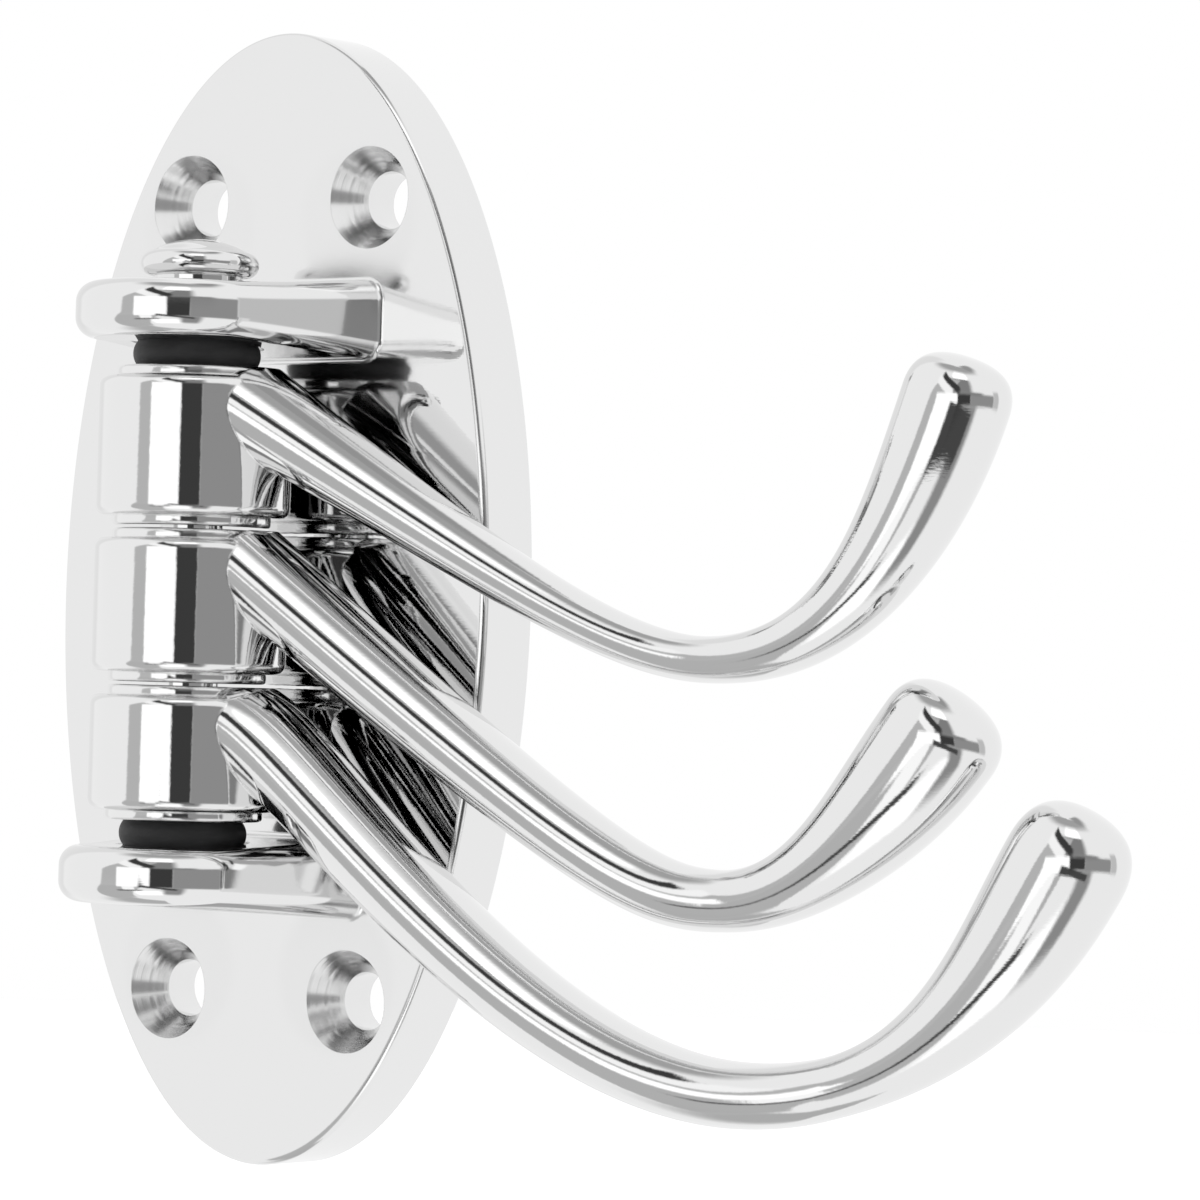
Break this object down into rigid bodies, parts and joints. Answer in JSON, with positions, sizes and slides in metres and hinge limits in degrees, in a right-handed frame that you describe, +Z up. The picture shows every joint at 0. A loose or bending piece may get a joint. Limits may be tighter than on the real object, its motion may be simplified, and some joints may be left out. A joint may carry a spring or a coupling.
{
  "type": "folding wall hook",
  "caption": "Oval wall plate with two lugs and an upright pin, on which chromed coat hooks with long upturned arms swing and fold flat.",
  "frame": {"origin": "centre of the plate's back face, which lies on the wall", "axes": "+Z up along the pin, +X to the right across the plate, -Y out of the wall into the room; the wall-face mount points along +Y"},
  "size_m": [0.124, 0.0368, 0.112],
  "materials": {
    "plate_chrome": "mirror polished",
    "pin_chrome": "polished",
    "hook_chrome": "mirror polished",
    "ring_rubber": "matte"
  },
  "bodies": {
    "plate": {"backplate": "plate_chrome", "hinge_pin": "pin_chrome", "upper_rubber_ring": "ring_rubber", "lower_rubber_ring": "ring_rubber"},
    "top_arm": {"top_hook": "hook_chrome"},
    "middle_arm": {"middle_hook": "hook_chrome"},
    "bottom_arm": {"bottom_hook": "hook_chrome"}
  },
  "joints": [
    {"name": "top_hook_swing", "type": "hinge", "parent": "plate", "child": "top_arm", "pos_m": [0, -0.0182, 0], "axis": [0, 0, 1], "range_deg": [-206, 2]},
    {"name": "middle_hook_swing", "type": "hinge", "parent": "plate", "child": "middle_arm", "pos_m": [0, -0.0182, 0], "axis": [0, 0, 1], "range_deg": [-204.3, 0.3]},
    {"name": "bottom_hook_swing", "type": "hinge", "parent": "plate", "child": "bottom_arm", "pos_m": [0, -0.0182, 0], "axis": [0, 0, 1], "range_deg": [-204.7, 0.7]}
  ]
}
